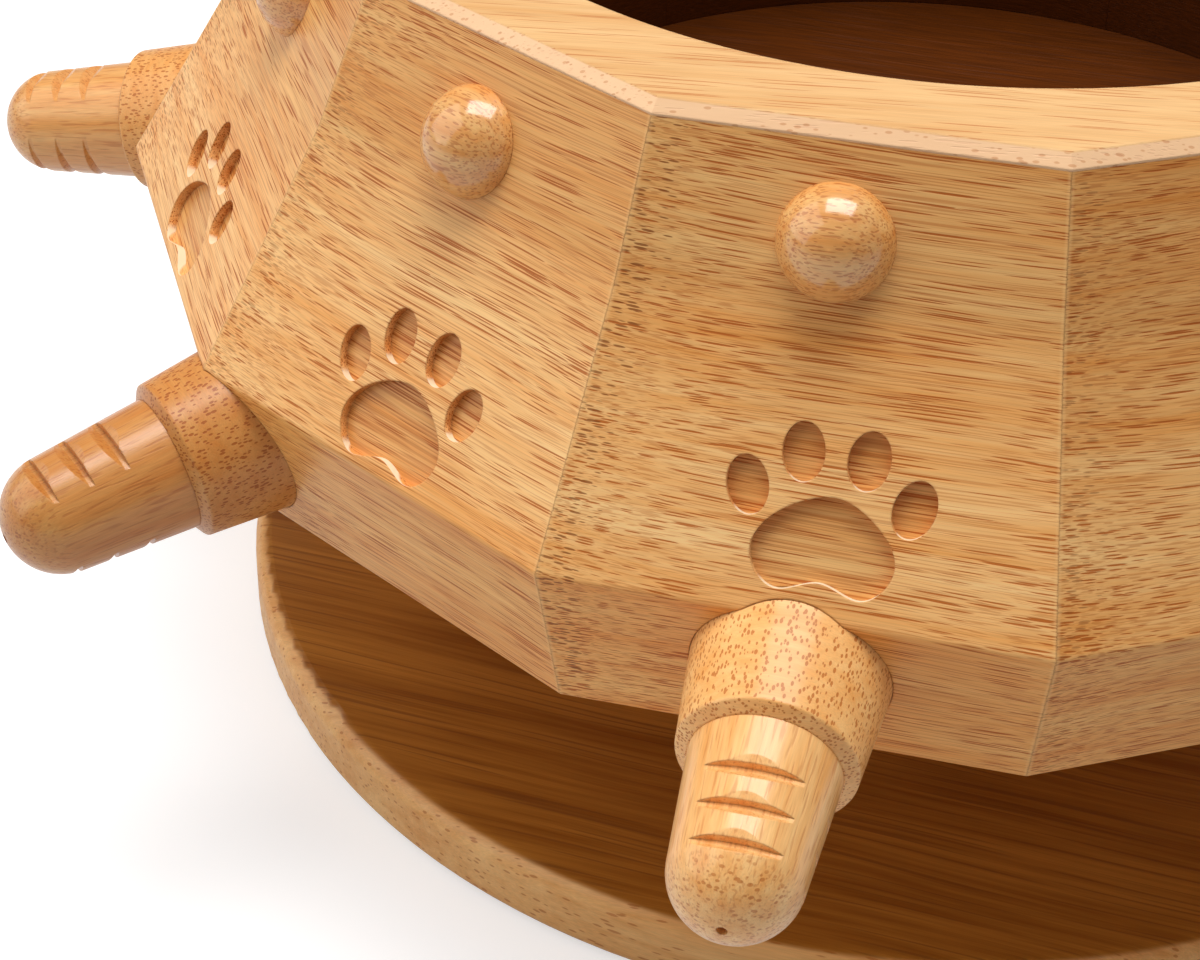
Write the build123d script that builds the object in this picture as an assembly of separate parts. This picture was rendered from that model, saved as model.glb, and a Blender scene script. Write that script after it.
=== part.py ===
from build123d import *
import math
import os

# All sizes are in millimetres. The bowl turns about +Z and stands on z = 0.

# Base plate and its non-slip pads
base_radius = 79.0
base_thickness = 7.6
base_top_round = 2.0
base_low_round = 1.2
pad_count = 4
pad_radius = 8.0
pad_thickness = 1.4
pad_proud = 0.4
pad_circle_radius = 62.0

# Pedestal under the turntable
pedestal_radius = 32.0
pedestal_height = 14.0
pedestal_edge_round = 1.0
glue_gap = 0.05

# Ball race between the pedestal and the carrier
race_plate_radius = 31.0
race_plate_thickness = 2.0
ball_count = 16
ball_diameter = 4.0
ball_circle_radius = 25.0
groove_depth = 1.0
ball_clearance = 0.05
retainer_thickness = 1.0
retainer_half_width = 3.4
retainer_hole_clearance = 0.1

# Pivot bolt that holds the race together
pivot_radius = 3.0
pivot_clearance = 0.06
pivot_head_radius = 6.0
pivot_head_height = 2.4
pivot_head_lift = 0.3
pivot_thread_depth = 11.0
pivot_pocket_clearance = 1.0

# Countersunk screws
screw_count = 4
screw_radius = 1.5
screw_head_radius = 3.0
screw_head_height = 1.6
screw_sink = 0.1
race_screw_length = 8.0
race_screw_circle_radius = 13.0
column_screw_length = 14.0
column_screw_circle_radius = 22.5
column_screw_azimuth = 22.5
access_hole_radius = 3.6
access_azimuth = 45.0

# Carrier disc and the pegs that drive the bowl
carrier_radius = 44.0
carrier_thickness = 11.9
carrier_edge_round = 1.5
peg_count = 4
peg_radius = 4.0
peg_circle_radius = 34.0
peg_depth = 6.0
peg_reach = 5.0
peg_chamfer = 0.8
peg_clearance = 0.3
peg_end_gap = 0.6

# Bowl shell: radii are at the corners, heights stack up from the underside
side_count = 12
underside_recess = 0.8
band_height = 17.6
flare_height = 23.5
shoulder_height = 13.7
rim_edge_height = 0.2
rim_chamfer_height = 1.1
underside_corner_radius = 85.1
crease_corner_radius = 90.0
bend_corner_radius = 76.2
shoulder_corner_radius = 70.3
rim_corner_radius = 69.1
bend_round = 15.0
crease_round = 0.8
underside_round = 0.5
mouth_radius = 57.0
mouth_round = 1.0
floor_thickness = 8.0
floor_ledge = 5.0
tongue_width = 5.0
tongue_depth = 7.0

# Engraved paw in the flare of each stave, its sizes measured up the slope from its lowest point
paw_depth = 1.0
paw_rise = 0.7
paw_lift_over_teat = 1.7
paw_shift = 1.9
pad_mark_half_width = 6.4
pad_mark_widest_rise = 2.8
pad_mark_top_rise = 8.7
pad_mark_shoulder_half = 4.5
pad_mark_shoulder_rise = 6.7
pad_mark_lobe_half = 3.9
pad_mark_notch_rise = 1.0
toe_half_width = 1.9
toe_half_length = 2.7
inner_toe_half_spread = 2.9
inner_toe_rise = 12.3
inner_toe_lean = 5.0
outer_toe_half_spread = 7.4
outer_toe_rise = 8.7
outer_toe_lean = 14.0

# Half-round button in the shoulder of each stave
button_radius = 5.3
button_height = 4.2
button_rise = 5.4
button_lift_over_teat = 0.7
button_shift = -0.85
button_spigot_radius = 2.5
button_spigot_length = 4.0
button_spigot_end_gap = 0.4

# Teats and the collars that hold them
teat_count = 8
teat_tilt = 9.6
teat_height = 47.0
face_collar_proud = 11.6
corner_collar_proud = 7.2
collar_length = 15.0
collar_end_radius = 8.3
collar_seat_radius = 9.7
collar_end_round = 0.3
collar_bevel_width = 1.2
collar_bevel_length = 0.7
tenon_radius = 4.5
tenon_length = 12.0
tenon_clearance = 0.08
teat_root_radius = 7.0
teat_tip_radius = 6.1
teat_length = 17.8
milk_bore_radius = 0.5
feed_channel_radius = 1.5

# Carved notches along each teat
notch_count = 3
notch_first = 4.8
notch_pitch = 3.8
notch_depth = 1.05
notch_flat = 0.5
notch_ramp = 1.3
notch_edge_drop = 0.25
notch_edge_run = 0.6
upper_notch_half_span = 42.0
face_lower_notch_half_span = 100.0
corner_lower_notch_half_span = 60.0

# Heights and radii that follow from the sizes above
base_bottom = pad_proud
base_top = base_bottom + base_thickness
pedestal_top = base_top + pedestal_height
lower_race_top = pedestal_top + race_plate_thickness
ball_radius = ball_diameter / 2
race_gap = ball_diameter + 2 * ball_clearance - 2 * groove_depth
ball_height = lower_race_top + race_gap / 2
upper_race_bottom = lower_race_top + race_gap
upper_race_top = upper_race_bottom + race_plate_thickness
carrier_top = upper_race_top + carrier_thickness
floor_top = carrier_top + floor_thickness
underside_height = carrier_top - underside_recess
crease_height = underside_height + band_height
bend_height = crease_height + flare_height
shoulder_top_height = bend_height + shoulder_height
rim_height = shoulder_top_height + rim_edge_height + rim_chamfer_height
half_side_angle = 180 / side_count
to_apothem = math.cos(math.radians(half_side_angle))
band_slope = (crease_corner_radius - underside_corner_radius) / band_height
band_corner_radius = underside_corner_radius + band_slope * (teat_height - underside_height)
face_collar_reach = band_corner_radius * to_apothem + face_collar_proud
corner_collar_reach = band_corner_radius + corner_collar_proud
overcut = 20.0
facing = -90.0

os.makedirs("parts", exist_ok=True)


def save(shape, name):
    export_step(shape, f"parts/{name}.step")


def turned(*points):
    """Solid turned about Z from (radius, height) points."""
    return revolve(Plane.XZ * make_face(Polyline(*points, close=True)), Axis.Z)


def rod(radius, low, high, x=0.0, y=0.0):
    return Pos(x, y, low) * extrude(Circle(radius), high - low)


def around(count, radius, start=0.0):
    """Points on a circle, evenly spaced."""
    angles = [math.radians(start + 360 * i / count) for i in range(count)]
    return [(radius * math.cos(angle), radius * math.sin(angle)) for angle in angles]


def fuse_all(solids):
    return Compound(children=list(solids))


# Base plate, pads and pedestal

def screw(length, grow=0.0):
    """Countersunk screw with its head's face at z = 0 and its shank pointing down."""
    head = screw_head_radius + grow
    shank = screw_radius + grow
    return turned((0, 0), (head, 0), (shank, -screw_head_height), (shank, -length), (0, -length))


def screw_and_hole_places(circle_radius, height, azimuth, upward):
    flip = Rot(180, 0, 0) if upward else Rot(0, 0, 0)
    return [Pos(x, y, height) * flip for x, y in around(screw_count, circle_radius, azimuth)]


def screw_group(places, length):
    return fuse_all([place * screw(length) for place in places])


def drill_for_screws(solid, places, length):
    for place in places:
        solid -= place * screw(length + glue_gap, glue_gap)
        solid -= place * rod(screw_head_radius + glue_gap, 0, screw_sink + 1)
    return solid


column_screw_places = screw_and_hole_places(
    column_screw_circle_radius, base_bottom + screw_sink, column_screw_azimuth, upward=True)
lower_screw_places = screw_and_hole_places(
    race_screw_circle_radius, lower_race_top - screw_sink, 0.0, upward=False)
upper_screw_places = screw_and_hole_places(
    race_screw_circle_radius, upper_race_bottom + screw_sink, access_azimuth, upward=True)


def drill_access_hole(solid):
    x, y = around(1, race_screw_circle_radius, access_azimuth)[0]
    return solid - rod(access_hole_radius, 0, lower_race_top + 1, x, y)


def drill_for_pivot(solid, radius, depth_height):
    return solid - rod(radius, depth_height, upper_race_top + 1)


def make_base_plate():
    plate = rod(base_radius, base_bottom, base_top)
    plate = fillet(plate.edges().group_by(Axis.Z)[-1], base_top_round)
    plate = fillet(plate.edges().group_by(Axis.Z)[0], base_low_round)
    for x, y in around(pad_count, pad_circle_radius, access_azimuth):
        plate -= rod(pad_radius + glue_gap, 0, pad_thickness, x, y)
    plate = drill_for_screws(plate, column_screw_places, column_screw_length)
    return drill_access_hole(plate)


def make_foot_pads():
    return fuse_all([rod(pad_radius, 0, pad_thickness, x, y)
                     for x, y in around(pad_count, pad_circle_radius, access_azimuth)])


def make_pedestal():
    column = rod(pedestal_radius, base_top, pedestal_top)
    column = fillet(column.edges().group_by(Axis.Z)[-1], pedestal_edge_round)
    column = drill_for_screws(column, column_screw_places, column_screw_length)
    column = drill_for_screws(column, lower_screw_places, race_screw_length)
    column = drill_for_pivot(column, pivot_radius + glue_gap, pedestal_top - pivot_thread_depth - glue_gap)
    return drill_access_hole(column)


# Ball race

def groove_ring(height):
    circle = Plane.XZ * Pos(ball_circle_radius, height) * Circle(ball_radius + ball_clearance)
    return revolve(circle, Axis.Z)


def make_lower_race():
    plate = rod(race_plate_radius, pedestal_top, lower_race_top)
    plate -= groove_ring(ball_height)
    plate = drill_for_screws(plate, lower_screw_places, race_screw_length)
    plate = drill_for_pivot(plate, pivot_radius + glue_gap, pedestal_top - 1)
    return drill_access_hole(plate)


def make_upper_race():
    plate = rod(race_plate_radius, upper_race_bottom, upper_race_top)
    plate -= groove_ring(ball_height)
    plate = drill_for_screws(plate, upper_screw_places, race_screw_length)
    return drill_for_pivot(plate, pivot_radius + pivot_clearance, upper_race_bottom - 1)


def make_balls():
    return fuse_all([Pos(x, y, ball_height) * Sphere(ball_radius)
                     for x, y in around(ball_count, ball_circle_radius)])


def make_retainer():
    low = ball_height - retainer_thickness / 2
    high = ball_height + retainer_thickness / 2
    ring = rod(ball_circle_radius + retainer_half_width, low, high)
    ring -= rod(ball_circle_radius - retainer_half_width, low - 1, high + 1)
    for x, y in around(ball_count, ball_circle_radius):
        ring -= rod(ball_radius + retainer_hole_clearance, low - 1, high + 1, x, y)
    return ring


def make_pivot_bolt():
    head_low = upper_race_top + pivot_head_lift
    shank = rod(pivot_radius, pedestal_top - pivot_thread_depth, head_low)
    return shank + rod(pivot_head_radius, head_low, head_low + pivot_head_height)


# Carrier disc and pegs

def make_carrier():
    disc = rod(carrier_radius, upper_race_top, carrier_top)
    disc = fillet(disc.edges().group_by(Axis.Z)[0], carrier_edge_round)
    pocket_top = upper_race_top + pivot_head_lift + pivot_head_height + pivot_pocket_clearance
    disc -= rod(pivot_head_radius + pivot_pocket_clearance, upper_race_top - 1, pocket_top)
    for x, y in around(peg_count, peg_circle_radius):
        disc -= rod(peg_radius + glue_gap, carrier_top - peg_depth, carrier_top + 1, x, y)
    return drill_for_screws(disc, upper_screw_places, race_screw_length)


def make_pegs():
    def peg(x, y):
        solid = rod(peg_radius, carrier_top - peg_depth, carrier_top + peg_reach)
        return Pos(x, y, 0) * chamfer(solid.edges().group_by(Axis.Z)[-1], peg_chamfer)
    return fuse_all([peg(x, y) for x, y in around(peg_count, peg_circle_radius)])


# Bowl shell

def side_profile():
    """Outer face of one side seen end on, from the mouth wall outwards."""
    inner = mouth_radius - overcut
    profile = make_face(Polyline(
        (inner, underside_height), (underside_corner_radius * to_apothem, underside_height),
        (crease_corner_radius * to_apothem, crease_height),
        (bend_corner_radius * to_apothem, bend_height),
        (shoulder_corner_radius * to_apothem, shoulder_top_height),
        (inner, shoulder_top_height), close=True))
    rounds = {underside_height: underside_round, crease_height: crease_round, bend_height: bend_round}
    for height, radius in rounds.items():
        corner = [vertex for vertex in profile.vertices()
                  if abs(vertex.Y - height) < 0.01 and vertex.X > inner + overcut]
        profile = fillet(corner, radius)
    return profile


def stave_wedge():
    reach = crease_corner_radius + overcut
    half_width = reach * math.tan(math.radians(half_side_angle))
    corner_points = [(0, 0), (reach, -half_width), (reach, half_width)]
    return extrude(make_face(Polyline(*corner_points, close=True)), rim_height + overcut)


def slope_plane(low_radius, low_height, high_radius, high_height):
    """Plane on one face of the shell: x to the right seen from outside, y up the slope."""
    low = Vector(low_radius * to_apothem, 0, low_height)
    high = Vector(high_radius * to_apothem, 0, high_height)
    up = (high - low).normalized()
    return Plane(origin=low, x_dir=(0, 1, 0), z_dir=Vector(0, 1, 0).cross(up))


flare_plane = slope_plane(crease_corner_radius, crease_height, bend_corner_radius, bend_height)
shoulder_plane = slope_plane(bend_corner_radius, bend_height, shoulder_corner_radius, shoulder_top_height)


def pad_outline():
    points = [(0, pad_mark_top_rise), (pad_mark_shoulder_half, pad_mark_shoulder_rise),
              (pad_mark_half_width, pad_mark_widest_rise), (pad_mark_lobe_half, 0),
              (0, pad_mark_notch_rise), (-pad_mark_lobe_half, 0),
              (-pad_mark_half_width, pad_mark_widest_rise), (-pad_mark_shoulder_half, pad_mark_shoulder_rise)]
    return make_face(Spline(*points, periodic=True))


def toe_outline(spread, rise, lean):
    return Pos(spread, rise) * Rot(0, 0, -lean) * Ellipse(toe_half_width, toe_half_length)


def engrave_paw(stave, over_teat):
    rise = paw_rise + (paw_lift_over_teat if over_teat else 0)
    marks = [pad_outline()]
    for side in (-1, 1):
        marks.append(toe_outline(side * inner_toe_half_spread, inner_toe_rise, side * inner_toe_lean))
        marks.append(toe_outline(side * outer_toe_half_spread, outer_toe_rise, side * outer_toe_lean))
    for mark in marks:
        cutter = Pos(paw_shift, rise, -paw_depth) * extrude(mark, 2 * paw_depth)
        stave -= flare_plane.location * cutter
    return stave


def button_place(over_teat):
    rise = button_rise + (button_lift_over_teat if over_teat else 0)
    return shoulder_plane.location * Pos(button_shift, rise, 0)


def make_stave_blank(over_teat):
    reach = crease_corner_radius * math.tan(math.radians(half_side_angle)) + overcut
    stave = extrude(Plane.XZ * side_profile(), reach, both=True) & stave_wedge()
    stave -= rod(mouth_radius, 0, rim_height + 1)
    stave -= rod(mouth_radius + floor_ledge, 0, floor_top)
    stave -= rod(mouth_radius + tongue_width, shoulder_top_height - tongue_depth, rim_height + 1)
    stave = engrave_paw(stave, over_teat)
    socket_depth = button_spigot_length + button_spigot_end_gap
    return stave - button_place(over_teat) * rod(button_spigot_radius + glue_gap, -socket_depth, 1)


def make_button(over_teat):
    cap_radius = (button_radius ** 2 + button_height ** 2) / (2 * button_height)
    cap_centre = button_height - cap_radius
    half_angle = math.atan2(button_radius, -cap_centre) / 2
    mid_point = (cap_radius * math.sin(half_angle), cap_centre + cap_radius * math.cos(half_angle))
    dome = make_face([Line((0, 0), (button_radius, 0)),
                      ThreePointArc((button_radius, 0), mid_point, (0, button_height)),
                      Line((0, button_height), (0, 0))])
    button = revolve(Plane.XZ * dome, Axis.Z)
    return button_place(over_teat) * (button + rod(button_spigot_radius, -button_spigot_length, 0))


def make_floor():
    disc = rod(mouth_radius + floor_ledge - glue_gap, carrier_top, floor_top)
    for x, y in around(peg_count, peg_circle_radius):
        disc -= rod(peg_radius + peg_clearance, carrier_top - 1, carrier_top + peg_reach + peg_end_gap, x, y)
    return disc


def make_rim():
    outline = Rot(0, 0, half_side_angle) * RegularPolygon(
        shoulder_corner_radius, side_count, major_radius=True)
    cap = Pos(0, 0, shoulder_top_height) * extrude(outline, rim_edge_height + rim_chamfer_height)
    inset = (shoulder_corner_radius - rim_corner_radius) * to_apothem
    cap = chamfer(cap.edges().group_by(Axis.Z)[-1], rim_chamfer_height, inset)
    cap += rod(mouth_radius + tongue_width - glue_gap, shoulder_top_height - tongue_depth, shoulder_top_height)
    cap -= rod(mouth_radius, 0, rim_height + 1)
    mouth_edge = [edge for edge in cap.edges() if edge.geom_type == GeomType.CIRCLE
                  and abs(edge.radius - mouth_radius) < 0.01 and edge.center().Z > shoulder_top_height]
    return fillet(mouth_edge, mouth_round)


# Collars and teats, made along +Z with local +X pointing up when they are in place

def teat_location(azimuth, reach):
    tilt = math.radians(teat_tilt)
    outward = (math.cos(tilt), 0, -math.sin(tilt))
    upward = (math.sin(tilt), 0, math.cos(tilt))
    plane = Plane(origin=(reach, 0, teat_height), x_dir=upward, z_dir=outward)
    return Rot(0, 0, azimuth) * plane.location


def make_collar():
    ring = turned((0, -collar_length), (collar_seat_radius, -collar_length),
                  (collar_end_radius, -collar_bevel_length),
                  (collar_end_radius - collar_bevel_width, 0), (0, 0))
    end_edge = ring.edges().filter_by(GeomType.CIRCLE).group_by(Axis.Z)[-2]
    ring = fillet(end_edge, collar_end_round)
    return ring - rod(tenon_radius + tenon_clearance, -collar_length - 1, 1)


def collar_bore():
    """Tapered socket for a collar, with the feed channel that runs on into the bowl."""
    seat = collar_seat_radius + glue_gap
    taper = (collar_seat_radius - collar_end_radius) / (collar_length - collar_bevel_length)
    socket = turned((0, -collar_length), (seat, -collar_length),
                    (seat - taper * (collar_length + overcut), overcut), (0, overcut))
    channel_length = face_collar_reach - mouth_radius + overcut
    return socket + rod(feed_channel_radius, -channel_length, -collar_length + 1)


tip_centre = teat_length - teat_tip_radius
side_slope = math.acos(teat_tip_radius / math.hypot(teat_root_radius, tip_centre)) - math.atan2(
    tip_centre, teat_root_radius)
round_start = tip_centre + teat_tip_radius * math.sin(side_slope)


def teat_radius_at(distance):
    if distance < round_start:
        return teat_root_radius - distance * math.tan(side_slope)
    return math.sqrt(teat_tip_radius ** 2 - (distance - tip_centre) ** 2)


def notch_cutter(start, half_span, side):
    """Ring whose bore leaves a notch that is deepest in the middle and runs out at its ends."""
    radius = teat_radius_at(start)
    span_cosine = math.cos(math.radians(half_span))
    offset = (2 * radius * notch_depth - notch_depth ** 2) / (
        2 * radius * (1 - span_cosine) - 2 * notch_depth)
    floor_radius = radius - notch_depth + offset
    edge_radius = floor_radius + notch_depth - notch_edge_drop
    outer = floor_radius + 2 * notch_depth
    edge_lean = notch_edge_run * (outer - edge_radius) / notch_edge_drop
    ramp_end = start + notch_flat + 2 * notch_ramp
    ring = turned((floor_radius, start), (floor_radius, start + notch_flat),
                  (outer, ramp_end), (outer, start - edge_lean), (edge_radius, start))
    return Pos(-side * offset, 0, 0) * ring


def make_teat(lower_half_span):
    root = teat_radius_at(0)
    round_radius = teat_radius_at(round_start - 1e-6)
    middle = math.radians(45 + math.degrees(side_slope) / 2)
    mid_point = (teat_tip_radius * math.cos(middle), tip_centre + teat_tip_radius * math.sin(middle))
    outline = make_face([
        Line((0, -tenon_length), (tenon_radius, -tenon_length)),
        Line((tenon_radius, -tenon_length), (tenon_radius, 0)),
        Line((tenon_radius, 0), (root, 0)),
        Line((root, 0), (round_radius, round_start)),
        ThreePointArc((round_radius, round_start), mid_point, (0, teat_length)),
        Line((0, teat_length), (0, -tenon_length))])
    teat = revolve(Plane.XZ * outline, Axis.Z)
    for number in range(notch_count):
        start = notch_first + number * notch_pitch
        teat -= notch_cutter(start, upper_notch_half_span, 1)
        teat -= notch_cutter(start, lower_half_span, -1)
    return teat - rod(milk_bore_radius, -tenon_length - 1, teat_length + 1)


# Write every piece

save(make_base_plate(), "base_plate")
save(make_foot_pads(), "foot_pads")
save(make_pedestal(), "pedestal_column")
save(screw_group(column_screw_places, column_screw_length), "column_screws")
save(make_lower_race(), "race_lower_plate")
save(screw_group(lower_screw_places, race_screw_length), "race_lower_screws")
save(make_pivot_bolt(), "pivot_bolt")
save(make_balls(), "race_balls")
save(make_retainer(), "ball_retainer")
save(make_upper_race(), "race_upper_plate")
save(screw_group(upper_screw_places, race_screw_length), "race_upper_screws")
save(make_carrier(), "carrier_disc")
save(make_pegs(), "drive_pegs")
save(make_floor(), "bowl_floor")
save(make_rim(), "rim_plate")

side_angle = 360 / side_count
teat_angle = 360 / teat_count
teat_places = []
for number in range(teat_count):
    azimuth = facing + number * teat_angle
    from_face = (number * teat_angle) % side_angle
    on_face = min(from_face, side_angle - from_face) < side_angle / 4
    reach = face_collar_reach if on_face else corner_collar_reach
    teat_places.append((azimuth, reach, on_face))

stave_blanks = {over_teat: make_stave_blank(over_teat) for over_teat in (False, True)}
buttons = {over_teat: make_button(over_teat) for over_teat in (False, True)}
for number in range(side_count):
    azimuth = facing + number * side_angle
    near_teats = []
    over_teat = False
    for teat_azimuth, reach, on_face in teat_places:
        apart = abs((teat_azimuth - azimuth + 180) % 360 - 180)
        if apart < side_angle:
            near_teats.append((teat_azimuth, reach))
            over_teat = over_teat or apart < side_angle / 4
    stave = Rot(0, 0, azimuth) * stave_blanks[over_teat]
    for teat_azimuth, reach in near_teats:
        stave -= teat_location(teat_azimuth, reach) * collar_bore()
    save(stave, f"stave_{number + 1:02d}")
    save(Rot(0, 0, azimuth) * buttons[over_teat], f"button_{number + 1:02d}")

collar = make_collar()
face_teat = make_teat(face_lower_notch_half_span)
corner_teat = make_teat(corner_lower_notch_half_span)
for number, (azimuth, reach, on_face) in enumerate(teat_places):
    place = teat_location(azimuth, reach)
    save(place * collar, f"collar_{number + 1}")
    save(place * (face_teat if on_face else corner_teat), f"teat_{number + 1}")
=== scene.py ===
import math

import bpy
from mathutils import Matrix, Vector

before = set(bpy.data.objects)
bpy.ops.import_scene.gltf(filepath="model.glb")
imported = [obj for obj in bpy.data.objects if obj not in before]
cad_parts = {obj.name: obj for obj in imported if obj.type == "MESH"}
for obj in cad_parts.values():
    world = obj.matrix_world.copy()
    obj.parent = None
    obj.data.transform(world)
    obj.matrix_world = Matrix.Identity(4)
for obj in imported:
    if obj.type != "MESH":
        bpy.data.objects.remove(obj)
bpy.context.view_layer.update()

MM = 0.001
UP = Vector((0, 0, 1))

# Layout of the bowl, as in the solids, in millimetres and degrees

SIDES = 12
TEATS = 8
FACING = -90.0
TEAT_TILT = 9.6
HALF_SIDE = math.tan(math.radians(180 / SIDES))
INSIDE_RADIUS = 57.35
FACE_REACH = 86.0
FACE_HEIGHT = 57.0
COLLAR_REACH = 95.9
COLLAR_HEIGHT = 47.0
RIM_TOP = 95.3
BASE_TOP = 8.0
FLOOR_LEVEL = 48.0
COLUMN_LEVEL = 15.0
CARRIER_LEVEL = 34.0

# Outward normal of the sloping face that holds the paw, and its level along that normal
CREASE_REACH = 86.93
CREASE_HEIGHT = 56.8
FLARE_OUT = 0.870
FLARE_UP = 0.493
FLARE_LEVEL = FLARE_OUT * (CREASE_REACH - FACE_REACH) + FLARE_UP * (CREASE_HEIGHT - FACE_HEIGHT)


# Camera, at the photograph's place

CAMERA_REACH = 0.27633
CAMERA_HEIGHT = 0.20726
CAMERA_AZIMUTH = -84.39
LOOK_AZIMUTH = 103.32
LOOK_DOWN = 35.70
CAMERA_ROLL = -1.30
LENS = 82.48
SENSOR_WIDTH = 36.0
CLIP_START = 0.01


def direction(azimuth, elevation):
    azimuth = math.radians(azimuth)
    elevation = math.radians(elevation)
    flat = math.cos(elevation)
    return Vector((flat * math.cos(azimuth), flat * math.sin(azimuth), math.sin(elevation)))


def make_camera():
    data = bpy.data.cameras.new("camera")
    data.lens = LENS
    data.sensor_width = SENSOR_WIDTH
    data.clip_start = CLIP_START
    camera = bpy.data.objects.new("camera", data)
    bpy.context.scene.collection.objects.link(camera)
    forward = direction(LOOK_AZIMUTH, -LOOK_DOWN)
    right = forward.cross(UP).normalized()
    down = forward.cross(right)
    roll = math.radians(CAMERA_ROLL)
    rolled_right = math.cos(roll) * right + math.sin(roll) * down
    rolled_up = math.sin(roll) * right - math.cos(roll) * down
    turn = Matrix((rolled_right, rolled_up, -forward)).transposed()
    place = CAMERA_REACH * direction(CAMERA_AZIMUTH, 0)
    place.z = CAMERA_HEIGHT
    camera.matrix_world = Matrix.Translation(place) @ turn.to_4x4()
    bpy.context.scene.camera = camera


# Node trees

def srgb(red, green, blue):
    def linear(value):
        value /= 255
        return value / 12.92 if value <= 0.04045 else ((value + 0.055) / 1.055) ** 2.4
    return (linear(red), linear(green), linear(blue), 1.0)


class Tree:
    def __init__(self, name):
        self.material = bpy.data.materials.new(name)
        self.material.use_nodes = True
        self.tree = self.material.node_tree
        self.tree.nodes.clear()

    def node(self, kind, **settings):
        made = self.tree.nodes.new(kind)
        for key, value in settings.items():
            setattr(made, key, value)
        return made

    def link(self, source, target):
        self.tree.links.new(source, target)

    def put(self, socket, value):
        if isinstance(value, bpy.types.NodeSocket):
            self.link(value, socket)
        else:
            socket.default_value = value

    def fill(self, made, values):
        for socket, value in zip(made.inputs, values):
            self.put(socket, value)
        return made.outputs[0]

    def math(self, operation, first, second=0.0, third=0.0, clamp=False):
        made = self.node("ShaderNodeMath", operation=operation, use_clamp=clamp)
        return self.fill(made, (first, second, third))

    def add(self, first, second):
        return self.math("ADD", first, second)

    def subtract(self, first, second):
        return self.math("SUBTRACT", first, second)

    def multiply(self, first, second):
        return self.math("MULTIPLY", first, second)

    def multiply_add(self, value, factor, offset):
        return self.math("MULTIPLY_ADD", value, factor, offset)

    def ramp(self, value, low, high, low_to=0.0, high_to=1.0, smooth=True):
        made = self.node("ShaderNodeMapRange", clamp=True,
                         interpolation_type="SMOOTHSTEP" if smooth else "LINEAR")
        return self.fill(made, (value, low, high, low_to, high_to))

    def between(self, value, low, high, soft):
        """1 where the value lies between two levels, with soft ends."""
        return self.multiply(self.ramp(value, low - soft, low + soft),
                             self.ramp(value, high - soft, high + soft, 1.0, 0.0))

    def combine(self, x, y, z):
        return self.fill(self.node("ShaderNodeCombineXYZ"), (x, y, z))

    def split(self, vector):
        made = self.node("ShaderNodeSeparateXYZ")
        self.link(vector, made.inputs[0])
        return made.outputs[0], made.outputs[1], made.outputs[2]

    def length(self, x, y):
        return self.math("SQRT", self.add(self.multiply(x, x), self.multiply(y, y)))

    def noise(self, vector, detail=2.0):
        made = self.node("ShaderNodeTexNoise")
        self.link(vector, made.inputs["Vector"])
        made.inputs["Scale"].default_value = 1.0
        made.inputs["Detail"].default_value = detail
        made.inputs["Roughness"].default_value = 0.5
        return made.outputs[0]

    def fine_grain(self, per_metre, detail):
        """Even noise over the whole piece."""
        mapping = self.node("ShaderNodeMapping")
        self.link(self.node("ShaderNodeTexCoord").outputs["Object"], mapping.inputs["Vector"])
        mapping.inputs["Scale"].default_value = (per_metre, per_metre, per_metre)
        return self.noise(mapping.outputs[0], detail=detail)

    def mix(self, factor, first, second, blend="MIX"):
        made = self.node("ShaderNodeMix", data_type="RGBA", blend_type=blend)
        self.put(made.inputs[0], factor)
        self.put(made.inputs[6], first)
        self.put(made.inputs[7], second)
        return made.outputs[2]

    def tint(self, colour, multiplier, where=1.0):
        return self.mix(where, colour, multiplier, blend="MULTIPLY")

    def shade(self, colour, amount):
        return self.tint(colour, self.combine(amount, amount, amount))

    def ink(self, colour, where, strength, ink):
        """Lays an ink over the colour, at this strength where the mask is 1."""
        return self.mix(self.multiply(where, strength), colour, ink)

    def output(self, shader):
        made = self.node("ShaderNodeOutputMaterial")
        self.link(shader.outputs[0], made.inputs[0])
        return self.material


def paint(node, material):
    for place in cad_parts[node].material_slots:
        place.material = material


# Wood

PALE = srgb(255, 204, 135)
HONEY = srgb(240, 165, 86)
LINE = srgb(186, 93, 18)
SPECK = srgb(142, 74, 20)
# Dark brown within the bowl's inside radius, two tones mixed by the fibres
INSIDE_DARK = srgb(100, 46, 3)
DEEPER_INSIDE_DARK = tuple(0.6 * value for value in INSIDE_DARK)
# Painted highlight on the lower walls of the engraved paws
LIP_HIGHLIGHT = srgb(255, 236, 200)
DOT = srgb(194, 112, 44)

# Each noise of a material starts from a seed of its own
SEED_STEP = 5.37
SEED_ACROSS = 0.7
SEED_DEPTH = 0.3

# Slow wandering of the fibres, in waves per millimetre
DRIFT_ALONG = 0.02
DRIFT_ACROSS = 0.06

SMALLEST_DOT = 0.55
DOT_SHARPNESS = 12.0
BAND_SHARE = 0.6
STREAK_SHARE = 0.4
TONE_SPREAD = 0.16
FIBRE_NOISE = (0.3, 0.7)
FIBRE_SHADE = (0.93, 1.06)

EASED_EDGE = 0.25
PORE_DEPTH = 0.03
BUMP_STRENGTH = 0.5
FIBRE_HEIGHT = 0.3
PORE_ROUGHNESS = 0.15
SPECULAR = 0.22


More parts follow.
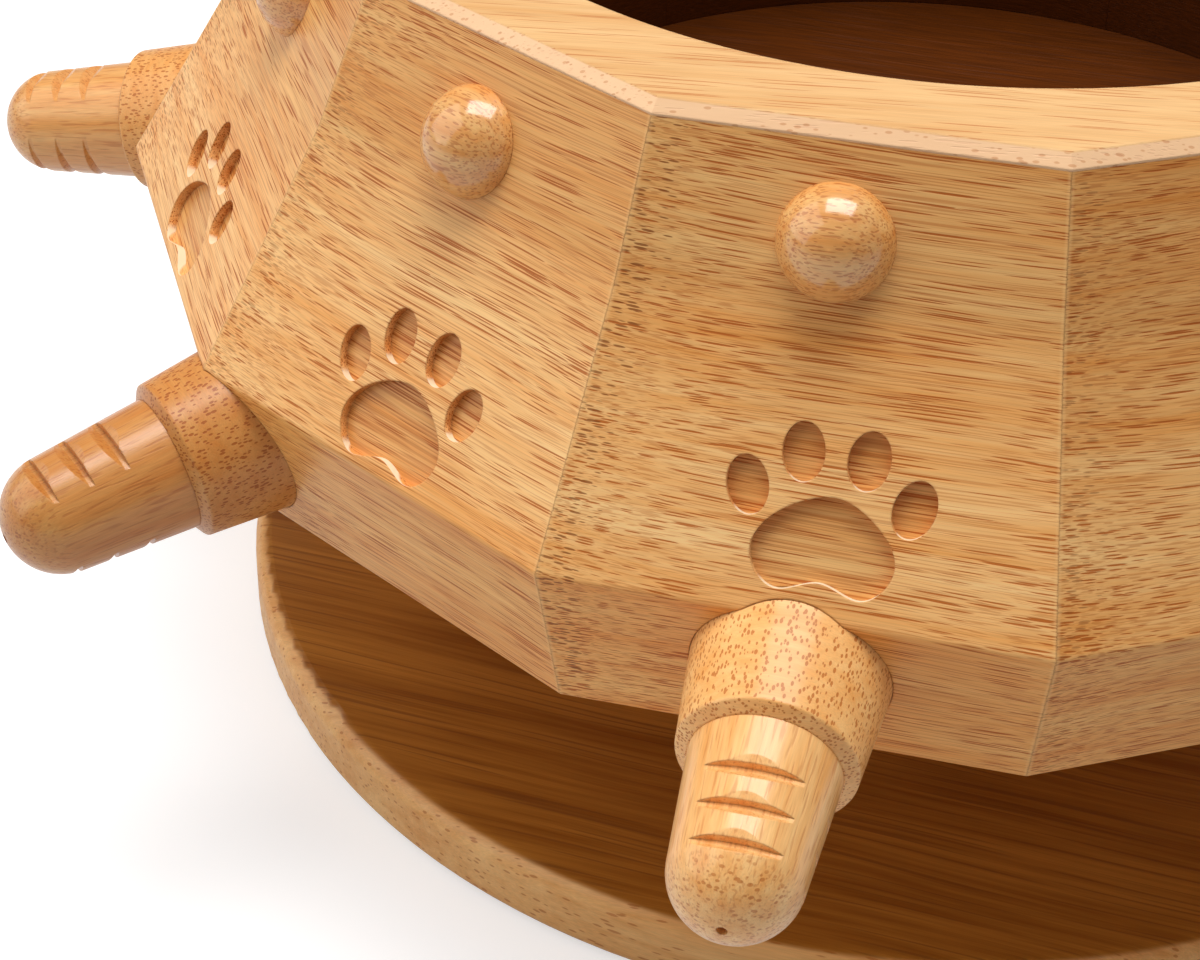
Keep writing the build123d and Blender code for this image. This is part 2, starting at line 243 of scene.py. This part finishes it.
class Wood(Tree):
    """Varnished timber: millimetres along the fibres (u), across them (v) and outward (w)."""

    def __init__(self, name, origin, along, up, seed, curl=0.0, curl_centre=0.0, wander=3.0):
        super().__init__(name)
        self.seed = seed
        along = Vector(along).normalized()
        up = (Vector(up) - Vector(up).dot(along) * along).normalized()
        turn = Matrix((along, up, along.cross(up))).transposed()
        coordinates = self.node("ShaderNodeTexCoord")
        self.object_place = coordinates.outputs["Object"]
        _, _, self.facing_up = self.split(coordinates.outputs["Normal"])
        mapping = self.node("ShaderNodeMapping", vector_type="TEXTURE")
        self.link(self.object_place, mapping.inputs["Vector"])
        mapping.inputs["Location"].default_value = MM * Vector(origin)
        mapping.inputs["Rotation"].default_value = turn.to_euler()
        mapping.inputs["Scale"].default_value = (MM, MM, MM)
        self.u, self.v, self.w = self.split(mapping.outputs[0])
        from_centre = self.math("ABSOLUTE", self.subtract(self.u, curl_centre))
        bend = self.multiply(self.math("POWER", from_centre, 3.0), curl)
        drift = self.noise(self.combine(self.multiply_add(self.u, DRIFT_ALONG, seed),
                                        self.multiply(self.v, DRIFT_ACROSS),
                                        self.multiply(self.w, DRIFT_ACROSS)), detail=1.0)
        self.grain_v = self.multiply_add(self.subtract(drift, 0.5), wander, self.v)
        self.grain_w = self.add(self.w, bend)

    def stretched(self, length, across, depth=None):
        """Place for a noise drawn out along the fibres, in cells of this length and thickness."""
        self.seed += SEED_STEP
        return self.combine(
            self.multiply_add(self.u, 1 / length, self.seed),
            self.multiply_add(self.grain_v, 1 / across, self.seed * SEED_ACROSS),
            self.multiply_add(self.grain_w, 1 / (depth or across), self.seed * SEED_DEPTH))

    def marks(self, length, across, low, high):
        """Thin tapering lines, or dots where the surface cuts across the fibres."""
        return self.ramp(self.noise(self.stretched(length, across), detail=0.0), low, high)

    def dots(self, length, across, depth, size, more=None):
        """Separate pores: tapered dashes along the fibres, dots where the surface cuts across them."""
        cells = self.node("ShaderNodeTexVoronoi", feature="F1")
        self.link(self.stretched(length, across, depth), cells.inputs["Vector"])
        cells.inputs["Scale"].default_value = 1.0
        pick, _, _ = self.split(cells.outputs["Color"])
        radius = self.ramp(pick, 0.0, 1.0, SMALLEST_DOT * size, size, smooth=False)
        if more is not None:
            radius = self.add(radius, more)
        inside = self.subtract(radius, cells.outputs["Distance"])
        return self.math("MULTIPLY", inside, DOT_SHARPNESS, clamp=True)

    def clumps(self, length, across, fewer, more):
        """Slow change in the size of the pores."""
        level = self.noise(self.stretched(length, across), detail=1.0)
        return self.ramp(level, 0.35, 0.65, fewer, more)

    def ground(self, pale=PALE, deep=HONEY, band=3.8, contrast=1.0):
        """Slow light and dark bands under fine fibres."""
        bands = self.noise(self.stretched(length=65.0, across=band), detail=2.0)
        streaks = self.noise(self.stretched(length=24.0, across=0.8), detail=2.0)
        tone = self.add(self.multiply(bands, BAND_SHARE), self.multiply(streaks, STREAK_SHARE))
        spread = TONE_SPREAD / contrast
        colour = self.mix(self.ramp(tone, 0.5 - spread, 0.5 + spread, smooth=False), pale, deep)
        self.fibres = self.noise(self.stretched(length=6.0, across=0.14), detail=1.0)
        return self.shade(colour, self.ramp(self.fibres, *FIBRE_NOISE, *FIBRE_SHADE, smooth=False))

    def darkened_inside(self, colour):
        """Darker brown within the radius of the bowl's inside."""
        x, y, _ = self.split(self.object_place)
        radius = self.multiply(self.length(x, y), 1 / MM)
        dark_inside_colour = self.mix(self.ramp(self.fibres, *FIBRE_NOISE), INSIDE_DARK, DEEPER_INSIDE_DARK)
        return self.mix(self.ramp(radius, INSIDE_RADIUS - 0.1, INSIDE_RADIUS + 0.1), dark_inside_colour, colour)

    def finish(self, colour, pores, roughness=0.40, coat=0.15, coat_roughness=0.22, coat_ior=1.5):
        """Satin varnish over eased edges, with the pores sunk in."""
        height = self.multiply_add(self.fibres, FIBRE_HEIGHT, self.multiply(pores, -1.0))
        eased = self.node("ShaderNodeBevel", samples=4)
        eased.inputs["Radius"].default_value = EASED_EDGE * MM
        bump = self.node("ShaderNodeBump")
        bump.inputs["Strength"].default_value = BUMP_STRENGTH
        bump.inputs["Distance"].default_value = PORE_DEPTH * MM
        self.link(height, bump.inputs["Height"])
        self.link(eased.outputs[0], bump.inputs["Normal"])
        shader = self.node("ShaderNodeBsdfPrincipled")
        self.link(colour, shader.inputs["Base Color"])
        self.link(self.multiply_add(pores, PORE_ROUGHNESS, roughness), shader.inputs["Roughness"])
        self.link(bump.outputs[0], shader.inputs["Normal"])
        shader.inputs["Specular IOR Level"].default_value = SPECULAR
        shader.inputs["Coat Weight"].default_value = coat
        shader.inputs["Coat Roughness"].default_value = coat_roughness
        shader.inputs["Coat IOR"].default_value = coat_ior
        return self.output(shader)


def amber(tone):
    """Multiplier that darkens the timber and turns it more orange as it does so."""
    return (tone, tone ** 1.6, tone ** 2.55, 1.0)


# Staves: tones and strength of the dark specks, one value for each stave; the second stave's darker
# tone is painted shade

STAVE_TONES_AND_SHADE = (1.0, 0.93, 1.02, 0.97, 1.0, 0.95, 1.03, 0.98, 0.94, 1.01, 0.99, 0.98)
STAVE_SPECKS = (0.80, 0.45, 0.50, 0.60, 0.40, 0.70, 0.45, 0.55, 0.75, 0.40, 0.55, 0.40)
STAVE_SEED = 1.0
STAVE_CURL = 0.00006
STAVE_CURL_CENTRE = 6.0
SPECKLED_WIDTH = (1.5, 8.0)
SPECKLED_MORE = (0.04, -0.5)
LINE_STRENGTH = 0.88
FINE_LINE_STRENGTH = 0.38
# Painted light and shade by height, in millimetres up from the crease: paler near the crease, darker
# and more orange above the bend
LIGHT_TO_SHADE_HEIGHTS = (10.0, 25.0)
CREASE_PAINTED_LIGHT = 1.07
BEND_PAINTED_SHADE = 0.91
# Painted shade on the downward-facing band below the crease
BAND_TOP = (-0.6, 0.2)
BAND_PAINTED_SHADE = (0.92, 0.81, 0.62, 1.0)
# Painted highlight: a pale line along the mitre edges of each stave
MITRE_HIGHLIGHT_BAND = (-0.45, -0.15)
MITRE_HIGHLIGHT_STRENGTH = 0.3

# Engraved paw: millimetres up from the crease and into the wood
PAW_LOWEST = 0.3
PAW_HIGHEST = 19.0
PAW_MARGIN = 0.1
PAW_RIM = (0.03, 0.08)
# The paw floor's darker tone is partly the cut wood's own colour and partly painted shade in the recess
PAW_FLOOR = (0.25, 0.85)
PAW_FLOOR_TONE_AND_SHADE = 0.86
PAW_LINE_STRENGTH = 0.35
# Painted shade on the upper walls of the paw and a painted highlight on its lower walls, picked by
# which way each wall faces
UPPER_WALL_NORMAL = (-0.5, -0.1)
UPPER_WALL_SHADE = 0.72
LOWER_WALL_NORMAL = (0.55, 0.72)


def face_wood(name, azimuth, seed, curl, curl_centre, wander=3.0):
    """Timber whose fibres run level round the bowl, measured from the crease of a face."""
    outward = direction(azimuth, 0)
    origin = FACE_REACH * outward + FACE_HEIGHT * UP
    return Wood(name, origin, UP.cross(outward), UP, seed, curl, curl_centre, wander)


def grain_of_stave(tree, colour, reach, speckle):
    """Dashes all over and short dark specks beside the left mitre, with the pores that they make."""
    from_left = tree.multiply_add(reach, HALF_SIDE, tree.u)
    near_left = tree.ramp(from_left, *SPECKLED_WIDTH, *SPECKLED_MORE)
    clumps = tree.clumps(length=18.0, across=3.0, fewer=-0.05, more=0.06)
    lines = tree.dots(length=10.0, across=0.23, depth=0.23, size=0.405, more=clumps)
    fine_lines = tree.marks(length=20.0, across=0.11, low=0.52, high=0.62)
    specks = tree.dots(length=2.3, across=0.33, depth=0.33, size=0.38, more=near_left)
    colour = tree.ink(colour, fine_lines, FINE_LINE_STRENGTH, LINE)
    colour = tree.ink(colour, lines, LINE_STRENGTH, LINE)
    colour = tree.ink(colour, specks, speckle, SPECK)
    return colour, tree.math("MAXIMUM", lines, specks)


def tints_of_stave(tree, colour, reach, tone):
    """Paler, as painted light, towards the crease; darker and more orange, as painted shade, above the
    bend and on the band below the crease; a pale painted highlight along the mitres.
    """
    # Painted light near the crease and painted shade above the bend
    painted_light_by_height = tree.mix(tree.ramp(tree.v, *LIGHT_TO_SHADE_HEIGHTS), amber(CREASE_PAINTED_LIGHT), amber(BEND_PAINTED_SHADE))
    colour = tree.tint(colour, painted_light_by_height)
    # Painted shade on the downward-facing band below the crease
    colour = tree.tint(colour, BAND_PAINTED_SHADE, where=tree.ramp(tree.v, *BAND_TOP, 1.0, 0.0))
    # Each stave's own tone; for the second stave this darker tone is painted shade
    colour = tree.tint(colour, amber(tone))
    # Painted highlight: a pale line along each mitre edge
    from_mitre = tree.subtract(tree.math("ABSOLUTE", tree.u), tree.multiply(reach, HALF_SIDE))
    return tree.mix(tree.ramp(from_mitre, *MITRE_HIGHLIGHT_BAND, 0.0, MITRE_HIGHLIGHT_STRENGTH), colour, PALE)


def paw_of_stave(tree, colour):
    """Browner floor, partly the cut wood's own tone and partly painted shade; painted shade on the
    upper walls and a painted highlight on the lower walls of the engraved paw.
    """
    level = tree.add(tree.multiply(tree.w, FLARE_OUT), tree.multiply(tree.v, FLARE_UP))
    depth = tree.subtract(FLARE_LEVEL, level)
    on_flare = tree.between(tree.v, PAW_LOWEST, PAW_HIGHEST, PAW_MARGIN)
    carved = tree.multiply(tree.ramp(depth, *PAW_FLOOR), on_flare)
    # Darker floor: partly the cut wood's own tone, partly painted shade in the recess
    colour = tree.mix(carved, colour, tree.tint(colour, amber(PAW_FLOOR_TONE_AND_SHADE)))
    cut_lines = tree.multiply(tree.marks(length=9.0, across=0.34, low=0.54, high=0.66), carved)
    colour = tree.ink(colour, cut_lines, PAW_LINE_STRENGTH, LINE)
    in_pocket = tree.multiply(tree.ramp(depth, *PAW_RIM), on_flare)
    # Painted shade on the upper walls, which face away from the light
    upper_walls = tree.multiply(tree.ramp(tree.facing_up, *UPPER_WALL_NORMAL, 1.0, 0.0), in_pocket)
    colour = tree.mix(upper_walls, colour, tree.tint(colour, amber(UPPER_WALL_SHADE)))
    # Painted highlight on the lower walls, which face up into the light
    lower_walls = tree.multiply(tree.ramp(tree.facing_up, *LOWER_WALL_NORMAL), in_pocket)
    return tree.mix(lower_walls, colour, LIP_HIGHLIGHT)


def stave_wood(name, azimuth, seed, tone, speckle):
    tree = face_wood(name, azimuth, seed, STAVE_CURL, STAVE_CURL_CENTRE)
    colour = tree.ground()
    reach = tree.add(tree.w, FACE_REACH)
    colour, pores = grain_of_stave(tree, colour, reach, speckle)
    colour = tints_of_stave(tree, colour, reach, tone)
    colour = paw_of_stave(tree, colour)
    return tree.finish(tree.darkened_inside(colour), pores)


# Buttons, collars and teats

BUTTON_SEED = 40.0
BUTTON_TONE = 0.88
BUTTON_CURL = 0.0015
BUTTON_CURL_CENTRE = -0.5
COLLAR_SEED = 60.0
TEAT_SEED = 80.0
# One tone for each teat and its collar: painted shade, darkest on the teats to the left
TEAT_PAINTED_SHADES = (1.00, 0.94, 1.0, 0.90, 0.97, 0.92, 0.85, 0.68)
TEAT_TIP = (13.0, 15.0)


def button_wood(name, azimuth, seed):
    tree = face_wood(name, azimuth, seed, BUTTON_CURL, BUTTON_CURL_CENTRE, wander=1.5)
    colour = tree.ground(band=1.6)
    lines = tree.marks(length=5.0, across=0.24, low=0.59, high=0.69)
    specks = tree.dots(length=1.3, across=0.30, depth=0.30, size=0.40)
    colour = tree.ink(colour, lines, 0.5, LINE)
    colour = tree.ink(colour, specks, 0.65, DOT)
    colour = tree.tint(colour, amber(BUTTON_TONE))
    pores = tree.math("MAXIMUM", lines, specks)
    return tree.finish(colour, pores, roughness=0.36, coat=0.8, coat_roughness=0.13, coat_ior=1.7)


def collar_place(azimuth):
    """Middle of a collar's end, the teat's axis and the level direction across it."""
    axis = direction(azimuth, -TEAT_TILT)
    return COLLAR_REACH * direction(azimuth, 0) + COLLAR_HEIGHT * UP, axis, UP.cross(axis)


def collar_wood(name, azimuth, seed, tone):
    origin, axis, side = collar_place(azimuth)
    tree = Wood(name, origin, side, axis, seed, wander=1.0)
    colour = tree.ground(band=2.5, contrast=0.7)
    specks = tree.dots(length=0.38, across=0.74, depth=0.28, size=0.48)
    colour = tree.ink(colour, specks, 0.85, DOT)
    # Painted shade: the tone given for this teat and its collar
    colour = tree.tint(colour, amber(tone))
    return tree.finish(colour, specks, roughness=0.38, coat=0.4, coat_roughness=0.24)


def teat_wood(name, azimuth, seed, tone):
    """Fibres along the teat, with end grain on its rounded tip."""
    origin, axis, side = collar_place(azimuth)
    tree = Wood(name, origin, axis, side, seed, wander=1.0)
    colour = tree.ground(band=1.4, contrast=0.8)
    lines = tree.marks(length=9.0, across=0.24, low=0.56, high=0.72)
    colour = tree.ink(colour, lines, 0.35, LINE)
    tip = tree.ramp(tree.u, *TEAT_TIP)
    dots = tree.dots(length=0.6, across=0.8, depth=0.4, size=0.40)
    colour = tree.ink(colour, tree.multiply(dots, tip), 0.7, DOT)
    # Painted shade: the tone given for this teat and its collar
    colour = tree.tint(colour, amber(tone))
    return tree.finish(colour, lines, roughness=0.34, coat=0.6, coat_roughness=0.24, coat_ior=1.6)


# Rim plate, base plate and the hidden wooden pieces

RIM_SEED = 21.0
RIM_GRAIN = 8.0
RIM_PALE = srgb(236, 190, 132)
RIM_DEEP = srgb(220, 163, 101)
# Painted highlight on the rim's outer chamfer
CHAMFER_HIGHLIGHT = srgb(252, 206, 162)
CHAMFER_DOT = srgb(196, 112, 58)
CHAMFER_TOP = (95.15, 95.28)
CHAMFER_INSIDE = (60.0, 61.0)

BASE_SEED = 23.0
BASE_GRAIN = -4.0
# Base top: the board's colour with painted shade from the bowl above, much darker than its edge
BASE_TOP_SHADE_PALE = srgb(196, 130, 50)
BASE_TOP_SHADE_DEEP = srgb(156, 92, 24)
BASE_SHADED_LINE = srgb(128, 72, 24)
BASE_EDGE_PALE = srgb(254, 200, 130)
BASE_EDGE_DEEP = srgb(232, 162, 88)
BASE_TOP_LAYER = (-0.35, -0.05)


def rim_wood():
    grain = direction(RIM_GRAIN, 0)
    tree = Wood("rim_plate", (0, 0, RIM_TOP), grain, UP.cross(grain), RIM_SEED)
    colour = tree.ground(pale=RIM_PALE, deep=RIM_DEEP)
    clumps = tree.clumps(length=20.0, across=3.0, fewer=-0.06, more=0.04)
    lines = tree.dots(length=12.0, across=0.27, depth=0.27, size=0.40, more=clumps)
    colour = tree.ink(colour, lines, 0.6, LINE)
    # Painted highlight on the chamfer round the outside, with end-grain dots in it
    x, y, z = tree.split(tree.object_place)
    radius = tree.multiply(tree.length(x, y), 1 / MM)
    height = tree.multiply(z, 1 / MM)
    below_top = tree.ramp(height, *CHAMFER_TOP, 1.0, 0.0)
    on_chamfer = tree.multiply(below_top, tree.ramp(radius, *CHAMFER_INSIDE))
    dots = tree.dots(length=1.3, across=0.5, depth=0.5, size=0.36)
    colour = tree.ink(colour, on_chamfer, 0.8, tree.ink(CHAMFER_HIGHLIGHT, dots, 0.5, CHAMFER_DOT))
    return tree.finish(tree.darkened_inside(colour), lines)


def base_wood():
    grain = direction(BASE_GRAIN, 0)
    tree = Wood("base_plate", (0, 0, BASE_TOP), grain, UP.cross(grain), BASE_SEED)
    # Painted shade on the top face, which lies under the bowl; the edge keeps the board's own colour
    shaded_top = tree.ground(pale=BASE_TOP_SHADE_PALE, deep=BASE_TOP_SHADE_DEEP, band=5.0, contrast=1.3)
    lines = tree.marks(length=26.0, across=0.42, low=0.60, high=0.74)
    shaded_top = tree.ink(shaded_top, lines, 0.5, BASE_SHADED_LINE)
    edge_tone = tree.ground(pale=BASE_EDGE_PALE, deep=BASE_EDGE_DEEP)
    dots = tree.dots(length=4.0, across=0.6, depth=0.6, size=0.32)
    edge_tone = tree.ink(edge_tone, dots, 0.6, LINE)
    colour = tree.mix(tree.ramp(tree.w, *BASE_TOP_LAYER), edge_tone, shaded_top)
    return tree.finish(colour, lines, coat=0.3)


def plain_wood(name, level, seed, along=(1, 0, 0), up=(0, 1, 0), darken_inside=False):
    tree = Wood(name, (0, 0, level), along, up, seed)
    colour = tree.ground()
    lines = tree.marks(length=17.0, across=0.30, low=0.62, high=0.74)
    colour = tree.ink(colour, lines, 0.55, LINE)
    if darken_inside:
        colour = tree.darkened_inside(colour)
    return tree.finish(colour, lines)


def dress_wood():
    for number in range(SIDES):
        azimuth = FACING + number * 360 / SIDES
        stave = f"stave_{number + 1:02d}"
        button = f"button_{number + 1:02d}"
        tone = STAVE_TONES_AND_SHADE[number]
        paint(stave, stave_wood(stave, azimuth, STAVE_SEED + number, tone, STAVE_SPECKS[number]))
        paint(button, button_wood(button, azimuth, BUTTON_SEED + number))
    for number in range(TEATS):
        azimuth = FACING + number * 360 / TEATS
        collar = f"collar_{number + 1}"
        teat = f"teat_{number + 1}"
        tone = TEAT_PAINTED_SHADES[number]
        paint(collar, collar_wood(collar, azimuth, COLLAR_SEED + number, tone))
        paint(teat, teat_wood(teat, azimuth, TEAT_SEED + number, tone))
    paint("rim_plate", rim_wood())
    paint("base_plate", base_wood())
    paint("bowl_floor", plain_wood("bowl_floor", FLOOR_LEVEL, 22.0, darken_inside=True))
    paint("pedestal_column", plain_wood("pedestal_column", COLUMN_LEVEL, 24.0))
    paint("carrier_disc", plain_wood("carrier_disc", CARRIER_LEVEL, 25.0))
    paint("drive_pegs", plain_wood("drive_pegs", CARRIER_LEVEL, 26.0, along=(0, 0, 1), up=(1, 0, 0)))


# Metal, plastic and rubber

ZINC = srgb(196, 196, 200)
BRIGHT_STEEL = srgb(214, 214, 218)
STEEL_SHADOW = srgb(168, 168, 170)
METAL_GRAIN = 900
MILKY_WHITE = srgb(226, 224, 216)
BLACK_RUBBER = srgb(40, 40, 42)
SOFT_GRAIN = 1400
SOFT_BUMP = 0.05
ZINC_NODES = ("column_screws", "race_lower_screws", "race_upper_screws", "pivot_bolt",
              "race_lower_plate", "race_upper_plate")


def metal(name, colour, roughness):
    tree = Tree(name)
    grain = tree.fine_grain(METAL_GRAIN, detail=4.0)
    shader = tree.node("ShaderNodeBsdfPrincipled")
    shader.inputs["Metallic"].default_value = 1.0
    tone = tree.mix(tree.ramp(grain, 0.3, 0.7), colour, STEEL_SHADOW)
    tree.link(tone, shader.inputs["Base Color"])
    dullness = tree.ramp(grain, 0.3, 0.7, roughness - 0.06, roughness + 0.08)
    tree.link(dullness, shader.inputs["Roughness"])
    return tree.output(shader)


def soft(name, colour, roughness):
    tree = Tree(name)
    grain = tree.fine_grain(SOFT_GRAIN, detail=3.0)
    shader = tree.node("ShaderNodeBsdfPrincipled")
    tone = tree.shade(colour, tree.ramp(grain, 0.3, 0.7, 0.85, 1.1))
    tree.link(tone, shader.inputs["Base Color"])
    dullness = tree.ramp(grain, 0.3, 0.7, roughness - 0.05, roughness + 0.1)
    tree.link(dullness, shader.inputs["Roughness"])
    bump = tree.node("ShaderNodeBump")
    bump.inputs["Strength"].default_value = 0.3
    bump.inputs["Distance"].default_value = SOFT_BUMP * MM
    tree.link(grain, bump.inputs["Height"])
    tree.link(bump.outputs[0], shader.inputs["Normal"])
    return tree.output(shader)


def dress_metal():
    zinc = metal("zinc_steel", ZINC, 0.32)
    for node in ZINC_NODES:
        paint(node, zinc)
    paint("race_balls", metal("ball_steel", BRIGHT_STEEL, 0.14))
    paint("ball_retainer", soft("retainer_plastic", MILKY_WHITE, 0.5))
    paint("foot_pads", soft("pad_rubber", BLACK_RUBBER, 0.75))


# Floor, lights and surroundings

FLOOR_HALF = 3.0
FLOOR_DROP = 0.00005
FLOOR_COLOUR = (0.62, 0.62, 0.62, 1)
FLOOR_GLOW = 0.56
FAR_FLOOR_GLOW = 0.90
GLOW_REACH = (0.3, 1.5)
MIRRORED_GLOW = 0.4

LIGHT_AIM = Vector((0, 0, 0.05))
WORLD_STRENGTH = 0.23
WORLD_SEEN = 1.0


def make_floor():
    half = FLOOR_HALF
    corners = [(-half, -half, -FLOOR_DROP), (half, -half, -FLOOR_DROP),
               (half, half, -FLOOR_DROP), (-half, half, -FLOOR_DROP)]
    mesh = bpy.data.meshes.new("floor")
    mesh.from_pydata(corners, [], [(0, 1, 2, 3)])
    floor = bpy.data.objects.new("floor", mesh)
    bpy.context.scene.collection.objects.link(floor)
    tree = Tree("floor")
    shader = tree.node("ShaderNodeBsdfDiffuse")
    shader.inputs["Color"].default_value = FLOOR_COLOUR
    glow = tree.node("ShaderNodeEmission")
    path = tree.node("ShaderNodeLightPath")
    mirrored = tree.multiply(path.outputs["Is Glossy Ray"], MIRRORED_GLOW)
    seen = tree.math("MAXIMUM", path.outputs["Is Camera Ray"], mirrored)
    x, y, _ = tree.split(tree.node("ShaderNodeTexCoord").outputs["Object"])
    lift = tree.ramp(tree.length(x, y), *GLOW_REACH, FLOOR_GLOW, FAR_FLOOR_GLOW)
    tree.link(tree.multiply(seen, lift), glow.inputs["Strength"])
    both = tree.node("ShaderNodeAddShader")
    tree.link(shader.outputs[0], both.inputs[0])
    tree.link(glow.outputs[0], both.inputs[1])
    mesh.materials.append(tree.output(both))


def area_light(name, azimuth, elevation, distance, width, height, power):
    data = bpy.data.lights.new(name, "AREA")
    data.shape = "RECTANGLE"
    data.size = width
    data.size_y = height
    data.energy = power
    light = bpy.data.objects.new(name, data)
    bpy.context.scene.collection.objects.link(light)
    light.location = LIGHT_AIM + distance * direction(azimuth, elevation)
    light.rotation_euler = (LIGHT_AIM - light.location).to_track_quat("-Z", "Y").to_euler()


def make_world():
    world = bpy.data.worlds.new("studio")
    world.use_nodes = True
    bpy.context.scene.world = world
    tree = world.node_tree
    background = tree.nodes["Background"]
    background.inputs["Color"].default_value = (1, 1, 1, 1)
    path = tree.nodes.new("ShaderNodeLightPath")
    strength = tree.nodes.new("ShaderNodeMapRange")
    tree.links.new(path.outputs["Is Camera Ray"], strength.inputs["Value"])
    strength.inputs["To Min"].default_value = WORLD_STRENGTH
    strength.inputs["To Max"].default_value = WORLD_SEEN
    tree.links.new(strength.outputs[0], background.inputs["Strength"])


make_camera()
dress_wood()
dress_metal()
make_floor()
area_light("key", azimuth=-165, elevation=32, distance=1.0, width=1.0, height=1.0, power=4.2)
area_light("overhead", azimuth=90, elevation=86, distance=0.9, width=0.70, height=0.48, power=7.6)
make_world()
bpy.context.scene.view_settings.view_transform = "Standard"
